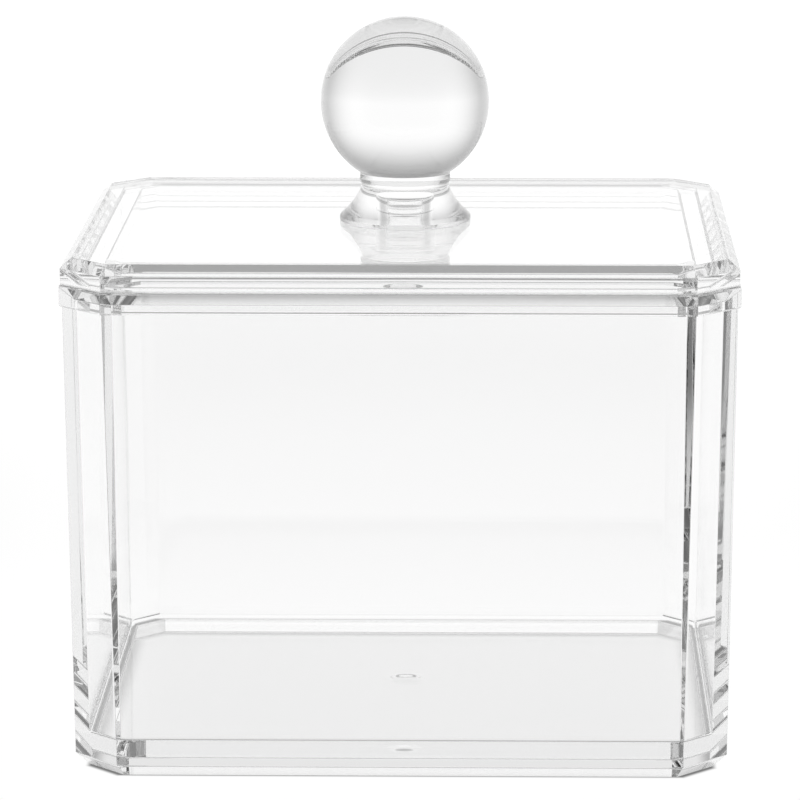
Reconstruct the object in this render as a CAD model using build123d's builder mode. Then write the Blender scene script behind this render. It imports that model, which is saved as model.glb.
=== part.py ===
"""Clear moulded holder for cotton swabs: an open box, a lift-off lid and a ball knob.

Millimetres, +Z up, front towards -Y. The origin is the middle of the face that the box stands on.
Every outline is the lid's outline, a rectangle with its corners cut at 45 degrees, drawn in or out
by a named amount, so the box, the rim and the lip always follow the lid.
"""

import math
import os

from build123d import *

# Lid plate
LID_WIDTH = 100.0
LID_DEPTH = 82.0
LID_THICKNESS = 4.0
LID_BEVEL_WIDTH = 1.7
LID_BEVEL_HEIGHT = 1.5
CORNER_CUT = 6.5

# Lip under the lid that drops into the mouth of the box
LIP_DROP = 3.7
LIP_WALL = 2.8
LIP_CLEARANCE = 0.35

# Box
BOX_HEIGHT = 74.0
RIM_HEIGHT = 3.3
RIM_PROUD = 0.2
RIM_STEP = 0.45
WALL = 3.2
MOUTH_BEVEL = 2.2
DRAFT_ANGLE = 0.58
CORNER_TAPER = 0.85
FLOOR_THICKNESS = 2.7
FLOOR_RADIUS = 0.6
FOOT_HEIGHT = 2.6
FOOT_WIDTH = 1.8
BOTTOM_BEVEL = 2.1
GATE_RADIUS = 3.2
GATE_DEPTH = 0.15

# Knob
BALL_RADIUS = 12.95
KNOB_HEIGHT = 31.4
COLLAR_RADIUS = 6.95
COLLAR_HEIGHT = 1.4
WAIST_RADIUS = 6.65
WAIST_HEIGHT = 5.6
WAIST_ANGLE = 20.0
FLARE_TOP_RADIUS = 9.7
FLANGE_RADIUS = 10.1
FLANGE_EDGE = 0.7
FLANGE_BEVEL = 0.5

# Post on the lid that the knob is glued over
POST_RADIUS = 3.0
POST_HEIGHT = 2.7
POST_GLUE_GAP = 0.1
SOCKET_HEADROOM = 0.3

RIM_BOTTOM = BOX_HEIGHT - RIM_HEIGHT
FLOOR_TOP = FOOT_HEIGHT + FLOOR_THICKNESS
LID_TOP = BOX_HEIGHT + LID_THICKNESS
# A 45 degree corner cut gets this much shorter for each millimetre that its outline is drawn in.
CUT_LOSS = 2 - math.sqrt(2)


def wall_inset(height):
    """How far the box's outer face lies inside the lid's edge, at a height below the rim."""
    drop = RIM_BOTTOM - height
    return RIM_STEP - RIM_PROUD + drop * math.tan(math.radians(DRAFT_ANGLE))


def cavity_inset(height):
    """How far the box's inner face lies inside the lid's edge, at any height."""
    return wall_inset(height) + WALL


def cut_corner_outline(inset, taper=0):
    """The lid's cut-corner outline, drawn in by inset on every side, with its corners cut by taper more."""
    Rectangle(LID_WIDTH - 2 * inset, LID_DEPTH - 2 * inset)
    chamfer(vertices(), CORNER_CUT + taper - inset * CUT_LOSS)


# Box, one moulding
with BuildPart() as box:
    # The bottom bevel, from the foot up to the drafted wall
    with BuildSketch(Plane.XY):
        cut_corner_outline(wall_inset(BOTTOM_BEVEL) + BOTTOM_BEVEL, CORNER_TAPER)
    with BuildSketch(Plane.XY.offset(BOTTOM_BEVEL)):
        cut_corner_outline(wall_inset(BOTTOM_BEVEL), CORNER_TAPER)
    loft(ruled=True)
    # The drafted wall, up to the rim, with its corners cut more towards the foot
    with BuildSketch(Plane.XY.offset(BOTTOM_BEVEL)):
        cut_corner_outline(wall_inset(BOTTOM_BEVEL), CORNER_TAPER)
    with BuildSketch(Plane.XY.offset(RIM_BOTTOM)):
        cut_corner_outline(wall_inset(RIM_BOTTOM))
    loft(ruled=True)
    # The rim that the lid rests on
    with BuildSketch(Plane.XY.offset(RIM_BOTTOM)):
        cut_corner_outline(-RIM_PROUD)
    extrude(amount=RIM_HEIGHT)
    # The cavity, with the same draft as the wall outside it
    with BuildSketch(Plane.XY.offset(FLOOR_TOP)):
        cut_corner_outline(cavity_inset(FLOOR_TOP))
    with BuildSketch(Plane.XY.offset(BOX_HEIGHT)):
        cut_corner_outline(cavity_inset(BOX_HEIGHT))
    loft(ruled=True, mode=Mode.SUBTRACT)
    # Of the level faces, only the underside lies lower than the floor.
    floor_face = box.faces().filter_by(Axis.Z).sort_by(Axis.Z)[1]
    fillet(floor_face.edges(), FLOOR_RADIUS)
    # The bevel that leads the lid's lip into the mouth
    rim_top = box.faces().sort_by(Axis.Z)[-1]
    chamfer(rim_top.inner_wires()[0].edges(), MOUTH_BEVEL)
    # The hollow under the floor, which leaves a narrow foot all round
    with BuildSketch(Plane.XY):
        cut_corner_outline(wall_inset(BOTTOM_BEVEL) + BOTTOM_BEVEL + FOOT_WIDTH, CORNER_TAPER)
    extrude(amount=FOOT_HEIGHT, mode=Mode.SUBTRACT)
    # The shallow round mark left by the mould's gate, under the middle of the floor
    with BuildSketch(Plane.XY.offset(FOOT_HEIGHT)):
        Circle(GATE_RADIUS)
    extrude(amount=GATE_DEPTH, mode=Mode.SUBTRACT)

# Lid, one moulding with its lip and the knob's post
with BuildPart() as lid:
    with BuildSketch(Plane.XY.offset(BOX_HEIGHT)):
        cut_corner_outline(0)
    extrude(amount=LID_THICKNESS - LID_BEVEL_HEIGHT)
    # The bevel round the top, a little wider than it is high
    with BuildSketch(Plane.XY.offset(LID_TOP - LID_BEVEL_HEIGHT)):
        cut_corner_outline(0)
    with BuildSketch(Plane.XY.offset(LID_TOP)):
        cut_corner_outline(LID_BEVEL_WIDTH)
    loft(ruled=True)
    lip_inset = cavity_inset(BOX_HEIGHT - LIP_DROP) + LIP_CLEARANCE
    with BuildSketch(Plane.XY.offset(BOX_HEIGHT)) as lip_ring:
        cut_corner_outline(lip_inset)
        with BuildSketch(mode=Mode.PRIVATE) as lip_hollow:
            cut_corner_outline(lip_inset + LIP_WALL)
        add(lip_hollow.sketch, mode=Mode.SUBTRACT)
    extrude(amount=-LIP_DROP)
    with BuildSketch(Plane.XY.offset(LID_TOP)):
        Circle(POST_RADIUS)
    extrude(amount=POST_HEIGHT)

# Knob, a solid of revolution with a blind socket underneath
ball_centre = LID_TOP + KNOB_HEIGHT - BALL_RADIUS
collar_top = ball_centre - math.sqrt(BALL_RADIUS**2 - COLLAR_RADIUS**2)
collar_bottom = collar_top - COLLAR_HEIGHT
socket_radius = POST_RADIUS + POST_GLUE_GAP
socket_top = LID_TOP + POST_HEIGHT + SOCKET_HEADROOM
waist_point = (WAIST_RADIUS, LID_TOP + WAIST_HEIGHT)
flare_point = (FLARE_TOP_RADIUS, LID_TOP + FLANGE_EDGE + FLANGE_BEVEL)
# The neck leaves the waist downwards, turned outwards by the waist angle.
waist_angle = math.radians(WAIST_ANGLE)
with BuildPart() as knob:
    with BuildSketch(Plane.XZ):
        with BuildLine() as profile:
            Polyline(
                (0, ball_centre + BALL_RADIUS),
                (0, socket_top),
                (socket_radius, socket_top),
                (socket_radius, LID_TOP),
                (FLANGE_RADIUS, LID_TOP),
                (FLANGE_RADIUS, LID_TOP + FLANGE_EDGE),
                flare_point,
            )
            TangentArc(waist_point, flare_point, tangent=(math.sin(waist_angle), -math.cos(waist_angle)))
            Polyline(waist_point, (COLLAR_RADIUS, collar_bottom), (COLLAR_RADIUS, collar_top))
            ThreePointArc(
                (COLLAR_RADIUS, collar_top),
                (BALL_RADIUS, ball_centre),
                (0, ball_centre + BALL_RADIUS),
            )
        make_face()
    revolve(axis=Axis.Z)

os.makedirs("parts", exist_ok=True)
box.part.label = "box"
export_step(box.part, "parts/box.step")
lid.part.label = "lid"
export_step(lid.part, "parts/lid.step")
knob.part.label = "knob"
export_step(knob.part, "parts/knob.step")
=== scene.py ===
"""Looks of a clear moulded cotton swab holder: box, lift-off lid and ball knob in clear plastic.

Metres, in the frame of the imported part: +Z up, front towards -Y, the box standing on Z = 0.
The profiles below are in millimetres and become metres when a mesh is made.
"""

import math

import bpy
import numpy as np
from mathutils import Euler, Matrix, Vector


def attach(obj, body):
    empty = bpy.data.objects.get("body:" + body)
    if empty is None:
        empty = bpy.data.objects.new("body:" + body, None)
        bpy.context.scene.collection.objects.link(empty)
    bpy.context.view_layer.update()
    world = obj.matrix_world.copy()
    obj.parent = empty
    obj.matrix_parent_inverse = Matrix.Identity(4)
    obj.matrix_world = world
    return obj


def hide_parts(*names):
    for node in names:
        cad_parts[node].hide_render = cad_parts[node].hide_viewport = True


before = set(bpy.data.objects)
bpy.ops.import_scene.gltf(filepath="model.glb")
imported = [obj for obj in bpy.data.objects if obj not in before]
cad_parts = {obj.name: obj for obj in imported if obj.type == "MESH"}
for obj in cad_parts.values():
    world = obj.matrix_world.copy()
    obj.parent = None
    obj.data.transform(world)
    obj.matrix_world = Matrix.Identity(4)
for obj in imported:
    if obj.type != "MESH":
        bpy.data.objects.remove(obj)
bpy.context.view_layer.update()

MM = 0.001

# Camera, fitted to the photo's 800 by 800 frame, with its near and far limits in metres
IMAGE_SIDE = 800.0
FOCAL_PIXELS = 4400.0
SENSOR = 36.0
CAMERA_PLACE = Vector((16.2, -669.8, 194.0)) * MM
CAMERA_TILT = math.radians(12.18)
CAMERA_TURN = math.radians(0.82)
CAMERA_SHIFT = -0.06
CAMERA_NEAR = 0.01
CAMERA_FAR = 20.0

# Lid
LID_WIDTH = 100.0
LID_DEPTH = 82.0
LID_THICKNESS = 4.0
LID_BEVEL_WIDTH = 1.7
LID_BEVEL_HEIGHT = 1.5
CORNER_CUT = 6.5
LIP_DROP = 3.7
LIP_WALL = 2.8
LIP_CLEARANCE = 0.35

# Box
BOX_HEIGHT = 74.0
RIM_HEIGHT = 3.3
RIM_PROUD = 0.2
RIM_STEP = 0.45
WALL = 3.2
MOUTH_BEVEL = 2.2
DRAFT_ANGLE = 0.58
CORNER_TAPER = 0.85
FLOOR_THICKNESS = 2.7
FLOOR_RADIUS = 0.6
FOOT_HEIGHT = 2.6
FOOT_WIDTH = 1.8
BOTTOM_BEVEL = 2.1
GATE_RADIUS = 3.2
GATE_DEPTH = 0.15

# Knob and its post
BALL_RADIUS = 12.95
KNOB_HEIGHT = 31.4
COLLAR_RADIUS = 6.95
COLLAR_HEIGHT = 1.4
WAIST_RADIUS = 6.65
WAIST_HEIGHT = 5.6
WAIST_ANGLE = 20.0
FLARE_TOP_RADIUS = 9.7
FLANGE_RADIUS = 10.1
FLANGE_EDGE = 0.7
FLANGE_BEVEL = 0.5
POST_RADIUS = 3.0
POST_HEIGHT = 2.7
POST_GLUE_GAP = 0.1
SOCKET_HEADROOM = 0.3

# Small moulding radii, and the air left between pieces that only touch
UPRIGHT_EDGE = 0.2
CRISP_EDGE = 0.15
SOFT_EDGE = 0.3
RIM_EDGE = 0.42
LIP_EDGE = 0.25
SEAT_GAP = 0.03

# Worked out from the sizes above: heights, and how far the cut corners' faces lie from the middle
RIM_BOTTOM = BOX_HEIGHT - RIM_HEIGHT
FLOOR_TOP = FOOT_HEIGHT + FLOOR_THICKNESS
LID_TOP = BOX_HEIGHT + LID_THICKNESS
HALF_CUT = (LID_WIDTH / 2 + LID_DEPTH / 2 - CORNER_CUT) / math.sqrt(2)

# Mesh, round an outline: points on each corner's arc, on each side between two arcs, and round the knob
ARC_POINTS = 5
SIDE_POINTS = 13
KNOB_POINTS = 192

# Mesh, along a profile: points on each edge's arc, on the knob's flare and ball, and on the gate mark,
# whose first ring is a share of its radius
EDGE_STEPS = 6
FLARE_STEPS = 24
BALL_STEPS = 90
GATE_STEPS = 12
GATE_FIRST = 0.1

# Mesh, in degrees: how much of the ball the collar's rounded edge takes, and where the ball's arc ends
COLLAR_TURN = 2.0
BALL_END = 89.0

# Mesh, on flat faces: the radius of the circle that they narrow to, the rings on the way there, and how
# many edge radii the first ring lies in from the edge
FLAT_CIRCLE = 14.0
FLAT_RINGS = 5
FLAT_MARGIN = 2

# The plastic: how it bends light, and its grey body, as a tint and densities per metre
PLASTIC_IOR = 1.49
BODY_TINT = (0.5, 0.5, 0.5, 1)
BOX_DENSITY = 4.0
LID_DENSITY = 3.0
KNOB_DENSITY = 9.0

# Its surface: the depth of the mould's ripple in millimetres, the roughness of the haze, and their noise
WALL_RIPPLE = 0.006
WALL_HAZE = 0.008
KNOB_RIPPLE = 0.004
KNOB_HAZE = 0.01
RIPPLE_SCALE = 35.0
RIPPLE_DETAIL = 1.0
HAZE_SCALE = 60.0
HAZE_DETAIL = 3.0
HAZE_PATCHES = (0.45, 0.75)

# Light levels: the white of the table behind the holder, and the others as shares of it
WHITE_LEVEL = 1.005
# UNDER_LEVEL and SHADE_LEVEL are painted shade in the table's glow: under the box, and deepest at the foot's
# line
UNDER_LEVEL = 0.8
SHADE_LEVEL = 0.2
HORIZON_LEVEL = 1.15
CORNER_LEVEL = 0.62
FLANK_LEVEL = 0.85
FRONT_LEVEL = 0.3
CEILING_LEVEL = 0.4

# Where they change on the table: distances in metres from its middle, and past the foot's outline
TABLE_FADE = (0.1, 0.24)
HORIZON_FADE = (0.12, 0.9)
# Where the painted contact shadow deepens and where it fades, past the foot's outline
SHADE_INNER = (-0.004, -0.0005)
SHADE_OUTER = (-0.0003, 0.0008)

# Where they change in the room: y / |xy| of a direction for the turns, and its height for the ceiling
CORNER_TURN = (0.55, 0.95)
FLANK_TURN = (-0.2, 0.3)
FRONT_TURN = (-0.8, -0.3)
CEILING_RISE = (0.1, 0.7)

# The table's half side in metres and its roughness, and how often light may turn inside the plastic
TABLE_HALF = 4.0
TABLE_ROUGHNESS = 0.85
LIGHT_BOUNCES = 64


def wall_out(height):
    """How far out from the lid's edge the box's outer face lies, at a height below the rim."""
    return RIM_PROUD - RIM_STEP - (RIM_BOTTOM - height) * math.tan(math.radians(DRAFT_ANGLE))


def cavity_out(height):
    """How far out from the lid's edge the box's inner face lies, at any height."""
    return wall_out(height) - WALL


def rounded(corners):
    """A profile line through (out, height, radius) corners, each turned by an arc of that radius.

    An arc of radius r and turn t lies round a centre on the corner's bisector, r / cos(t / 2) away,
    and its points are centre + r * (sin a * forward - cos a * bisector), for a from -t/2 to t/2.
    A radius of 0 keeps the corner itself.
    """
    line = []
    for index, (out, height, radius) in enumerate(corners):
        corner = np.array([out, height], float)
        if radius == 0:
            line.append(corner[None])
            continue
        before = np.array(corners[index - 1][:2], float) - corner
        after = np.array(corners[index + 1][:2], float) - corner
        before /= np.linalg.norm(before)
        after /= np.linalg.norm(after)
        half_turn = (math.pi - math.acos(before @ after)) / 2
        bisector = (before + after) / np.linalg.norm(before + after)
        forward = (after - before) / np.linalg.norm(after - before)
        angle = np.linspace(-half_turn, half_turn, EDGE_STEPS)[:, None]
        centre = corner + bisector * radius / math.cos(half_turn)
        line.append(centre + radius * (np.sin(angle) * forward - np.cos(angle) * bisector))
    return np.concatenate(line)


def arc(centre, radius, start, end, steps):
    """Points at centre + radius * (cos a, sin a), for angles a in degrees from start to end."""
    angle = np.radians(np.linspace(start, end, steps))
    return np.stack([centre[0] + radius * np.cos(angle), centre[1] + radius * np.sin(angle)], axis=1)


def profile_slopes(line):
    """Unit normals of a profile line: the chord from the point before to the point after, turned right."""
    chord = np.empty_like(line)
    chord[1:-1] = line[2:] - line[:-2]
    chord[0] = line[1] - line[0]
    chord[-1] = line[-1] - line[-2]
    slope = np.stack([chord[:, 1], -chord[:, 0]], axis=1)
    return slope / np.linalg.norm(slope, axis=1)[:, None]


def cut_corner_path(out, taper):
    """The cut-corner outline moved out by each value, as (value, point, xy), and each point's outward angle.

    The eight sides are lines at distance h(k) + out from the middle, facing 45 * k degrees. Two neighbours,
    drawn in by the edge radius r, meet at h * n + t * (h' - h * cos 45) / sin 45, and the corner is that
    point plus r * (cos a, sin a), while a goes from one side's facing to the next. Where the corners are
    cut by taper more, the four sloping sides lie taper / sqrt(2) further in.
    """
    eighth = math.pi / 4
    facing = np.arange(8) * eighth
    distance = np.array([LID_WIDTH / 2, HALF_CUT, LID_DEPTH / 2, HALF_CUT] * 2)
    near = distance[None] + np.asarray(out, float)[:, None] - UPRIGHT_EDGE
    near[:, 1::2] -= np.broadcast_to(taper, len(near))[:, None] / math.sqrt(2)
    following = np.roll(near, -1, axis=1)
    normal = np.stack([np.cos(facing), np.sin(facing)], axis=1)
    along = np.stack([-np.sin(facing), np.cos(facing)], axis=1)
    reach = (following - near * math.cos(eighth)) / math.sin(eighth)
    corner = near[..., None] * normal + reach[..., None] * along
    turn = facing[:, None] + np.linspace(0, eighth, ARC_POINTS)[None]
    bend = corner[:, :, None] + UPRIGHT_EDGE * np.stack([np.cos(turn), np.sin(turn)], axis=2)[None]
    share = (np.arange(1, SIDE_POINTS + 1) / (SIDE_POINTS + 1))[None, None, :, None]
    side = bend[:, :, -1:] * (1 - share) + np.roll(bend, -1, axis=1)[:, :, :1] * share
    side_turn = np.repeat(facing[:, None] + eighth, SIDE_POINTS, axis=1)
    path = np.concatenate([bend, side], axis=2).reshape(len(near), -1, 2)
    angle = np.concatenate([turn, side_turn], axis=1).ravel()
    return path, angle


def even_angles():
    """Evenly spaced angles, one for each point of the outline.

    Point i is at 22.5 degrees + (i - (ARC_POINTS - 1) / 2) * step, and the steps share a whole turn, so the
    middle of the first arc faces 22.5 degrees.
    """
    count = 8 * (ARC_POINTS + SIDE_POINTS)
    step = 2 * math.pi / count
    return math.pi / 8 + (np.arange(count) - (ARC_POINTS - 1) / 2) * step


def circle_path(radius, angle):
    """radius * (cos a, sin a) for each radius and each angle, as (radius, point, xy)."""
    unit = np.stack([np.cos(angle), np.sin(angle)], axis=1)
    return np.asarray(radius, float)[:, None, None] * unit[None]


def rings(path, height):
    """Rings of points in space: each path of the profile, at that profile point's height."""
    level = np.broadcast_to(np.asarray(height, float)[:, None, None], path.shape[:2] + (1,))
    return np.concatenate([path, level], axis=2)


def ring_normals(slope, angle):
    """Normals on rings: the profile's (out, up) normal, with out turned to face each path angle."""
    unit = np.stack([np.cos(angle), np.sin(angle)], axis=1)
    level = slope[:, 0, None, None] * unit[None]
    rise = np.broadcast_to(slope[:, 1, None, None], level.shape[:2] + (1,))
    return np.concatenate([level, rise], axis=2)


def carried(line, taper=0.0):
    """A profile carried round the cut-corner outline: the points and normals of its rings.

    The normals leave out the slight tilt that the taper gives the sloping sides.
    """
    path, angle = cut_corner_path(line[:, 0], taper)
    return rings(path, line[:, 1]), ring_normals(profile_slopes(line), angle)


def turned(line, angle):
    """A profile turned round the upright axis, with a point at each angle: the points and normals."""
    return rings(circle_path(line[:, 0], angle), line[:, 1]), ring_normals(profile_slopes(line), angle)


def level_between(first, last, up):
    """Rings on a level face between two others, with normals straight up or down.

    They are (1 - t) * first + t * last, for evenly spaced values of t between 0 and 1.
    """
    share = (np.arange(1, FLAT_RINGS + 1) / (FLAT_RINGS + 1))[:, None, None]
    points = first[None] * (1 - share) + last[None] * share
    return points, np.broadcast_to([0.0, 0.0, up], points.shape)


def closed_piece(name, sections, material, body, node):
    """One closed mesh from sections of rings in millimetres, with a fan to a middle point at each end.

    A section's points and normals are (ring, point, xyz). The rings start in the middle of the underside
    and go up round the outside, so a quad that follows one ring and comes back on the next faces outwards.
    """
    points = np.concatenate([section[0] for section in sections])
    normals = np.concatenate([section[1] for section in sections])
    count, around = points.shape[:2]
    middles = [[0, 0, points[0, 0, 2]], [0, 0, points[-1, 0, 2]]]
    vertices = np.concatenate([points.reshape(-1, 3), middles]) * MM
    directions = np.concatenate([normals.reshape(-1, 3), [[0, 0, -1], [0, 0, 1]]])
    here = np.arange(around)
    onward = np.roll(here, -1)
    start = np.arange(count - 1)[:, None] * around
    quads = np.stack([start + here, start + onward, start + around + onward, start + around + here], axis=2)
    last = (count - 1) * around
    first_fan = np.stack([onward, here, np.full(around, count * around)], axis=1)
    last_fan = np.stack([last + here, last + onward, np.full(around, count * around + 1)], axis=1)
    faces = quads.reshape(-1, 4).tolist() + first_fan.tolist() + last_fan.tolist()
    mesh = bpy.data.meshes.new(name)
    mesh.from_pydata(vertices.tolist(), [], faces)
    mesh.polygons.foreach_set("use_smooth", [True] * len(mesh.polygons))
    mesh.update()
    mesh.normals_split_custom_set_from_vertices(directions.tolist())
    mesh.materials.append(material)
    piece = bpy.data.objects.new(name, mesh)
    bpy.context.scene.collection.objects.link(piece)
    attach(piece, body)
    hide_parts(node)


def make_box(material):
    """The box: out from the gate mark, over foot, wall and rim, and down inside to the floor.

    The flat faces narrow from the cut-corner outline to a circle, and fan from there to the middle. The gate
    mark is a dimple, depth * (1 + cos(pi * r / radius)) / 2 at a distance r from the middle. The outside's
    corners are cut more towards the foot, by the taper times the way down from the rim to the bottom bevel.
    """
    foot_outer = wall_out(BOTTOM_BEVEL) - BOTTOM_BEVEL
    foot_inner = foot_outer - FOOT_WIDTH
    reach = np.append(np.linspace(GATE_FIRST, 1.0, GATE_STEPS) * GATE_RADIUS, FLAT_CIRCLE)
    dimple = (1 + np.cos(math.pi * np.minimum(reach / GATE_RADIUS, 1.0))) / 2
    gate = np.stack([reach, FOOT_HEIGHT + GATE_DEPTH * dimple], axis=1)
    shell = rounded(
        [
            (foot_inner - SOFT_EDGE * FLAT_MARGIN, FOOT_HEIGHT, 0),
            (foot_inner, FOOT_HEIGHT, SOFT_EDGE),
            (foot_inner, 0, SOFT_EDGE),
            (foot_outer, 0, SOFT_EDGE),
            (wall_out(BOTTOM_BEVEL), BOTTOM_BEVEL, SOFT_EDGE),
            (wall_out(RIM_BOTTOM), RIM_BOTTOM, 0),
            (RIM_PROUD, RIM_BOTTOM, RIM_EDGE),
            (RIM_PROUD, BOX_HEIGHT, SOFT_EDGE),
            (cavity_out(BOX_HEIGHT) + MOUTH_BEVEL, BOX_HEIGHT, CRISP_EDGE),
            (cavity_out(BOX_HEIGHT - MOUTH_BEVEL), BOX_HEIGHT - MOUTH_BEVEL, SOFT_EDGE),
            (cavity_out(FLOOR_TOP), FLOOR_TOP, FLOOR_RADIUS),
            (cavity_out(FLOOR_TOP) - FLOOR_RADIUS * FLAT_MARGIN, FLOOR_TOP, 0),
        ]
    )
    outside = np.arange(len(shell)) < shell[:, 1].argmax()
    down = np.clip((RIM_BOTTOM - shell[:, 1]) / (RIM_BOTTOM - BOTTOM_BEVEL), 0, 1)
    angle = even_angles()
    gate_rings = turned(gate, angle)
    shell_rings = carried(shell, outside * down * CORNER_TAPER)
    floor_circle = turned(np.array([[FLAT_CIRCLE, FLOOR_TOP], [FLAT_CIRCLE / 2, FLOOR_TOP]]), angle)
    sections = [
        gate_rings,
        level_between(gate_rings[0][-1], shell_rings[0][0], -1.0),
        shell_rings,
        level_between(shell_rings[0][-1], floor_circle[0][0], 1.0),
        floor_circle,
    ]
    closed_piece("swab_box", sections, material, "box", "box")


def make_lid(material):
    """The lid: lip, plate and bevel carried round the outline, then the top narrowed to the round post."""
    underside = BOX_HEIGHT + SEAT_GAP
    lip_end = BOX_HEIGHT - LIP_DROP
    lip_outer = cavity_out(lip_end) - LIP_CLEARANCE
    lip_inner = lip_outer - LIP_WALL
    plate = rounded(
        [
            (lip_inner - SOFT_EDGE * FLAT_MARGIN, underside, 0),
            (lip_inner, underside, SOFT_EDGE),
            (lip_inner, lip_end, LIP_EDGE),
            (lip_outer, lip_end, LIP_EDGE),
            (lip_outer, underside, CRISP_EDGE),
            (0, underside, SOFT_EDGE),
            (0, LID_TOP - LID_BEVEL_HEIGHT, CRISP_EDGE),
            (-LID_BEVEL_WIDTH, LID_TOP, CRISP_EDGE),
            (-LID_BEVEL_WIDTH - SOFT_EDGE * FLAT_MARGIN, LID_TOP, 0),
        ]
    )
    post = rounded(
        [
            (FLAT_CIRCLE, LID_TOP, 0),
            (POST_RADIUS, LID_TOP, CRISP_EDGE),
            (POST_RADIUS, LID_TOP + POST_HEIGHT, CRISP_EDGE),
            (POST_RADIUS / 2, LID_TOP + POST_HEIGHT, 0),
        ]
    )
    angle = even_angles()
    ceiling_circle = turned(np.array([[FLAT_CIRCLE / 2, underside], [FLAT_CIRCLE, underside]]), angle)
    plate_rings = carried(plate)
    post_rings = turned(post, angle)
    sections = [
        ceiling_circle,
        level_between(ceiling_circle[0][-1], plate_rings[0][0], -1.0),
        plate_rings,
        level_between(plate_rings[0][-1], post_rings[0][0], 1.0),
        post_rings,
    ]
    closed_piece("swab_lid", sections, material, "lid", "lid")


def make_knob(material):
    """The knob: a socket, flange, flared neck, collar and ball turned round the upright axis.

    The flare is an arc through its two ends. Its centre lies square to the tangent at the waist, at a
    radius of |chord|^2 / (2 * chord . square).
    """
    underside = LID_TOP + SEAT_GAP
    ball_centre = LID_TOP + KNOB_HEIGHT - BALL_RADIUS
    ball_start = -math.degrees(math.acos(COLLAR_RADIUS / BALL_RADIUS))
    ball = arc((0, ball_centre), BALL_RADIUS, ball_start + COLLAR_TURN, BALL_END, BALL_STEPS)
    collar_top = ball_centre + BALL_RADIUS * math.sin(math.radians(ball_start))
    collar_bottom = collar_top - COLLAR_HEIGHT
    socket_radius = POST_RADIUS + POST_GLUE_GAP
    socket_top = LID_TOP + POST_HEIGHT + SOCKET_HEADROOM
    waist = np.array([WAIST_RADIUS, LID_TOP + WAIST_HEIGHT])
    flare_end = np.array([FLARE_TOP_RADIUS, LID_TOP + FLANGE_EDGE + FLANGE_BEVEL])
    square = np.array([math.cos(math.radians(WAIST_ANGLE)), math.sin(math.radians(WAIST_ANGLE))])
    chord = flare_end - waist
    flare_radius = chord @ chord / (2 * chord @ square)
    flare_centre = waist + flare_radius * square
    spokes = np.array([flare_end, waist]) - flare_centre
    flare_angles = np.degrees(np.arctan2(spokes[:, 1], spokes[:, 0])) % 360
    flare = arc(flare_centre, flare_radius, *flare_angles, FLARE_STEPS)
    base = rounded(
        [
            (socket_radius / 2, socket_top, 0),
            (socket_radius, socket_top, CRISP_EDGE),
            (socket_radius, underside, CRISP_EDGE),
            (FLANGE_RADIUS, underside, CRISP_EDGE),
            (FLANGE_RADIUS, LID_TOP + FLANGE_EDGE, CRISP_EDGE),
            (*flare_end, 0),
        ]
    )[:-1]
    collar = rounded(
        [
            (*waist, 0),
            (COLLAR_RADIUS, collar_bottom, CRISP_EDGE),
            (COLLAR_RADIUS, collar_top, CRISP_EDGE),
            (*ball[0], 0),
        ]
    )[1:-1]
    line = np.concatenate([base, flare, collar, ball])
    angle = np.linspace(0, 2 * math.pi, KNOB_POINTS, endpoint=False)
    closed_piece("ball_knob", [turned(line, angle)], material, "lid", "knob")


def node_tree(owner):
    """The nodes and links of a material or a world."""
    owner.use_nodes = True
    return owner.node_tree.nodes, owner.node_tree.links


def smooth_range(nodes, links, value, source, target):
    """A smooth step of value: target[0] up to source[0], target[1] from source[1] on."""
    step = nodes.new("ShaderNodeMapRange")
    step.interpolation_type = "SMOOTHSTEP"
    step.inputs["From Min"].default_value = source[0]
    step.inputs["From Max"].default_value = source[1]
    step.inputs["To Min"].default_value = target[0]
    step.inputs["To Max"].default_value = target[1]
    links.new(value, step.inputs["Value"])
    return step.outputs["Result"]


def combined(nodes, links, operation, first, second=None):
    """One math node on two values, each a socket or a number."""
    node = nodes.new("ShaderNodeMath")
    node.operation = operation
    for socket, value in zip(node.inputs, (first, second)):
        if isinstance(value, (int, float)):
            socket.default_value = value
        elif value is not None:
            links.new(value, socket)
    return node.outputs["Value"]


def mixed(nodes, links, share, first, second):
    """first * (1 - share) + second * share, for values that are sockets or numbers."""
    node = nodes.new("ShaderNodeMix")
    node.data_type = "FLOAT"
    for socket, value in zip(node.inputs[:1] + node.inputs[2:4], (share, first, second)):
        if isinstance(value, (int, float)):
            socket.default_value = value
        else:
            links.new(value, socket)
    return node.outputs[0]


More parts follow.
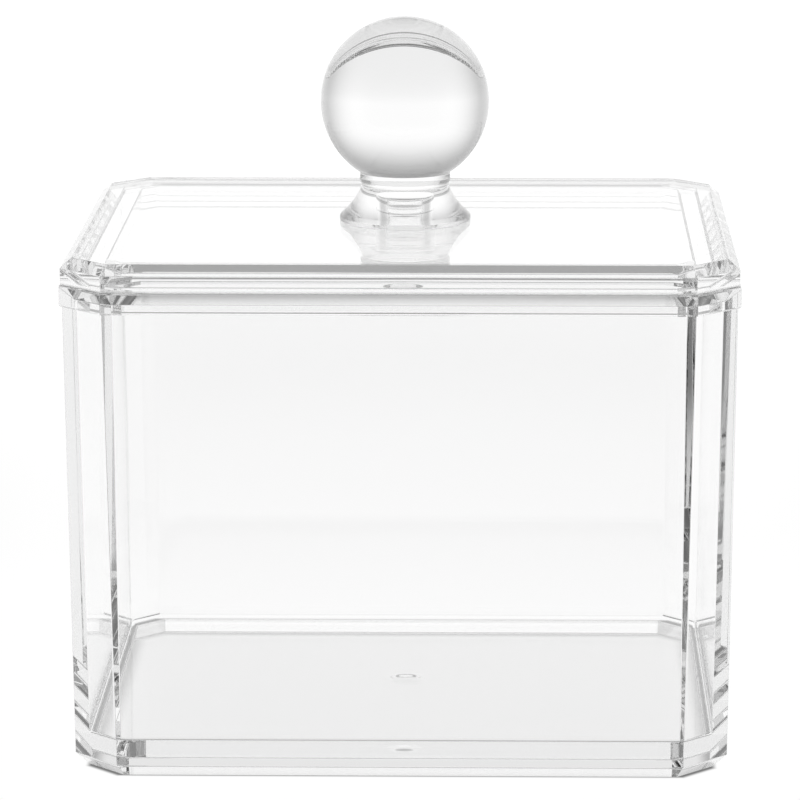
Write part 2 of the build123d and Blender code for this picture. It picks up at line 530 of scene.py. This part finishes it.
def clear_plastic(name, ripple, haze, density):
    """Clear moulded plastic: a slow ripple from the mould, faint patches of haze, and a grey body.

    The ripple is noise taken as height, and ripple is its depth in millimetres. The haze is finer noise, put
    through a smooth step over HAZE_PATCHES that gives a roughness of 0 to haze. After w metres inside,
    exp(-(1 - tint) * density * w) of the light is left, so long ways through the plastic look grey.
    """
    material = bpy.data.materials.new(name)
    nodes, links = node_tree(material)
    shader = nodes["Principled BSDF"]
    shader.inputs["Base Color"].default_value = (1, 1, 1, 1)
    shader.inputs["IOR"].default_value = PLASTIC_IOR
    shader.inputs["Transmission Weight"].default_value = 1.0
    place = nodes.new("ShaderNodeTexCoord").outputs["Object"]
    flow = nodes.new("ShaderNodeTexNoise")
    flow.inputs["Scale"].default_value = RIPPLE_SCALE
    flow.inputs["Detail"].default_value = RIPPLE_DETAIL
    bump = nodes.new("ShaderNodeBump")
    bump.inputs["Strength"].default_value = 1.0
    bump.inputs["Distance"].default_value = ripple * MM
    smear = nodes.new("ShaderNodeTexNoise")
    smear.inputs["Scale"].default_value = HAZE_SCALE
    smear.inputs["Detail"].default_value = HAZE_DETAIL
    gloss = smooth_range(nodes, links, smear.outputs["Fac"], HAZE_PATCHES, (0.0, haze))
    links.new(place, flow.inputs["Vector"])
    links.new(place, smear.inputs["Vector"])
    links.new(flow.outputs["Fac"], bump.inputs["Height"])
    links.new(bump.outputs["Normal"], shader.inputs["Normal"])
    links.new(gloss, shader.inputs["Roughness"])
    body = nodes.new("ShaderNodeVolumeAbsorption")
    body.inputs["Color"].default_value = BODY_TINT
    body.inputs["Density"].default_value = density
    links.new(body.outputs["Volume"], nodes["Material Output"].inputs["Volume"])
    return material


def facing_level(nodes, links, vector):
    """Level of the room by compass direction: three smooth steps over y / |xy|, multiplied.

    They lead from the back, past the back corners and the flanks, to the front. The table far away and the
    room low down share it, so no horizon shows in the plastic.
    """
    flat = nodes.new("ShaderNodeVectorMath")
    flat.operation = "MULTIPLY"
    flat.inputs[1].default_value = (1, 1, 0)
    unit = nodes.new("ShaderNodeVectorMath")
    unit.operation = "NORMALIZE"
    split = nodes.new("ShaderNodeSeparateXYZ")
    links.new(vector, flat.inputs[0])
    links.new(flat.outputs["Vector"], unit.inputs[0])
    links.new(unit.outputs["Vector"], split.inputs["Vector"])
    back = split.outputs["Y"]
    corner = smooth_range(nodes, links, back, CORNER_TURN, (CORNER_LEVEL, 1.0))
    flank = smooth_range(nodes, links, back, FLANK_TURN, (FLANK_LEVEL / CORNER_LEVEL, 1.0))
    front = smooth_range(nodes, links, back, FRONT_TURN, (FRONT_LEVEL / FLANK_LEVEL, 1.0))
    return combined(nodes, links, "MULTIPLY", combined(nodes, links, "MULTIPLY", corner, flank), front)


def foot_distance(nodes, links, place):
    """How far a point of the table lies past the foot's outline, in metres, and below 0 under the box.

    It is the largest of |x| - a, |y| - b and (|x| + |y|) / sqrt(2) - c, which are the distances past the
    ends, the long sides and the cut corners. The corners' taper is left out.
    """
    split = nodes.new("ShaderNodeSeparateXYZ")
    links.new(place, split.inputs["Vector"])
    side = combined(nodes, links, "ABSOLUTE", split.outputs["X"])
    ahead = combined(nodes, links, "ABSOLUTE", split.outputs["Y"])
    cut = combined(nodes, links, "DIVIDE", combined(nodes, links, "ADD", side, ahead), math.sqrt(2))
    foot_line = wall_out(BOTTOM_BEVEL) - BOTTOM_BEVEL
    past_end = combined(nodes, links, "SUBTRACT", side, (LID_WIDTH / 2 + foot_line) * MM)
    past_side = combined(nodes, links, "SUBTRACT", ahead, (LID_DEPTH / 2 + foot_line) * MM)
    past_corner = combined(nodes, links, "SUBTRACT", cut, (HALF_CUT + foot_line) * MM)
    past_straight = combined(nodes, links, "MAXIMUM", past_end, past_side)
    return combined(nodes, links, "MAXIMUM", past_straight, past_corner)


def painted_contact_shade(nodes, links, place):
    """The foot's contact shadow, painted into the table's glow: two smooth steps over foot_distance.

    One goes down from UNDER_LEVEL to SHADE_LEVEL towards the foot's line, and one from there up to 1.
    """
    outside = foot_distance(nodes, links, place)
    inner = smooth_range(nodes, links, outside, SHADE_INNER, (UNDER_LEVEL, SHADE_LEVEL))
    outer = smooth_range(nodes, links, outside, SHADE_OUTER, (0.0, 1.0))
    return mixed(nodes, links, outer, inner, 1.0)


def pale_table():
    """The light table's finish: a glow that is white near the holder and facing_level further out.

    It is WHITE_LEVEL * level * rise * shade. Over the distance from the middle, level is a smooth step from
    1 to facing_level, and rise is one from 1 to HORIZON_LEVEL. The shade is painted_contact_shade.
    """
    material = bpy.data.materials.new("pale_table")
    nodes, links = node_tree(material)
    shader = nodes["Principled BSDF"]
    shader.inputs["Base Color"].default_value = (0, 0, 0, 1)
    shader.inputs["Roughness"].default_value = TABLE_ROUGHNESS
    shader.inputs["Specular IOR Level"].default_value = 0
    shader.inputs["Emission Color"].default_value = (1, 1, 1, 1)
    place = nodes.new("ShaderNodeTexCoord").outputs["Object"]
    away = nodes.new("ShaderNodeVectorMath")
    away.operation = "LENGTH"
    links.new(place, away.inputs[0])
    far = smooth_range(nodes, links, away.outputs["Value"], TABLE_FADE, (0.0, 1.0))
    open_level = mixed(nodes, links, far, 1.0, facing_level(nodes, links, place))
    rise = smooth_range(nodes, links, away.outputs["Value"], HORIZON_FADE, (1.0, HORIZON_LEVEL))
    risen = combined(nodes, links, "MULTIPLY", open_level, rise)
    # Painted shade: the contact shadow and the darkening under the box are multiplied into the glow
    shaded = combined(nodes, links, "MULTIPLY", risen, painted_contact_shade(nodes, links, place))
    glow = combined(nodes, links, "MULTIPLY", shaded, WHITE_LEVEL)
    links.new(glow, shader.inputs["Emission Strength"])
    return material


def make_table():
    """A white light table that the holder stands on, its glow holding a painted contact shadow."""
    half = TABLE_HALF
    corners = [(-half, -half, 0), (half, -half, 0), (half, half, 0), (-half, half, 0)]
    mesh = bpy.data.meshes.new("table_top")
    mesh.from_pydata(corners, [], [(0, 1, 2, 3)])
    mesh.materials.append(pale_table())
    table = bpy.data.objects.new("table_top", mesh)
    bpy.context.scene.collection.objects.link(table)


def make_studio():
    """Soft light all round, from the level of the far table low down to a grey ceiling.

    It is WHITE_LEVEL times a smooth step over the height of the direction, which goes from facing_level *
    HORIZON_LEVEL to CEILING_LEVEL.
    """
    world = bpy.data.worlds.new("studio")
    nodes, links = node_tree(world)
    place = nodes.new("ShaderNodeTexCoord").outputs["Generated"]
    split = nodes.new("ShaderNodeSeparateXYZ")
    links.new(place, split.inputs["Vector"])
    up = smooth_range(nodes, links, split.outputs["Z"], CEILING_RISE, (0.0, 1.0))
    low = combined(nodes, links, "MULTIPLY", facing_level(nodes, links, place), HORIZON_LEVEL)
    level = mixed(nodes, links, up, low, CEILING_LEVEL)
    total = combined(nodes, links, "MULTIPLY", level, WHITE_LEVEL)
    nodes["Background"].inputs["Color"].default_value = (1, 1, 1, 1)
    links.new(total, nodes["Background"].inputs["Strength"])
    bpy.context.scene.world = world


def make_camera():
    """The photo's view: a long lens a little to the right of the middle, looking down at the lid."""
    data = bpy.data.cameras.new("photo_view")
    data.sensor_width = SENSOR
    data.lens = FOCAL_PIXELS / IMAGE_SIDE * SENSOR
    data.shift_x = CAMERA_SHIFT
    data.clip_start = CAMERA_NEAR
    data.clip_end = CAMERA_FAR
    camera = bpy.data.objects.new("photo_view", data)
    bpy.context.scene.collection.objects.link(camera)
    camera.location = CAMERA_PLACE
    camera.rotation_euler = Euler((math.pi / 2 - CAMERA_TILT, 0, CAMERA_TURN))
    bpy.context.scene.camera = camera


make_camera()
make_table()
make_studio()
make_box(clear_plastic("box_plastic", WALL_RIPPLE, WALL_HAZE, BOX_DENSITY))
make_lid(clear_plastic("lid_plastic", WALL_RIPPLE, WALL_HAZE, LID_DENSITY))
make_knob(clear_plastic("knob_plastic", KNOB_RIPPLE, KNOB_HAZE, KNOB_DENSITY))

bpy.context.scene.view_settings.view_transform = "Standard"
cycles = bpy.context.scene.cycles
cycles.max_bounces = LIGHT_BOUNCES
cycles.glossy_bounces = LIGHT_BOUNCES
cycles.transmission_bounces = LIGHT_BOUNCES
cycles.volume_bounces = LIGHT_BOUNCES
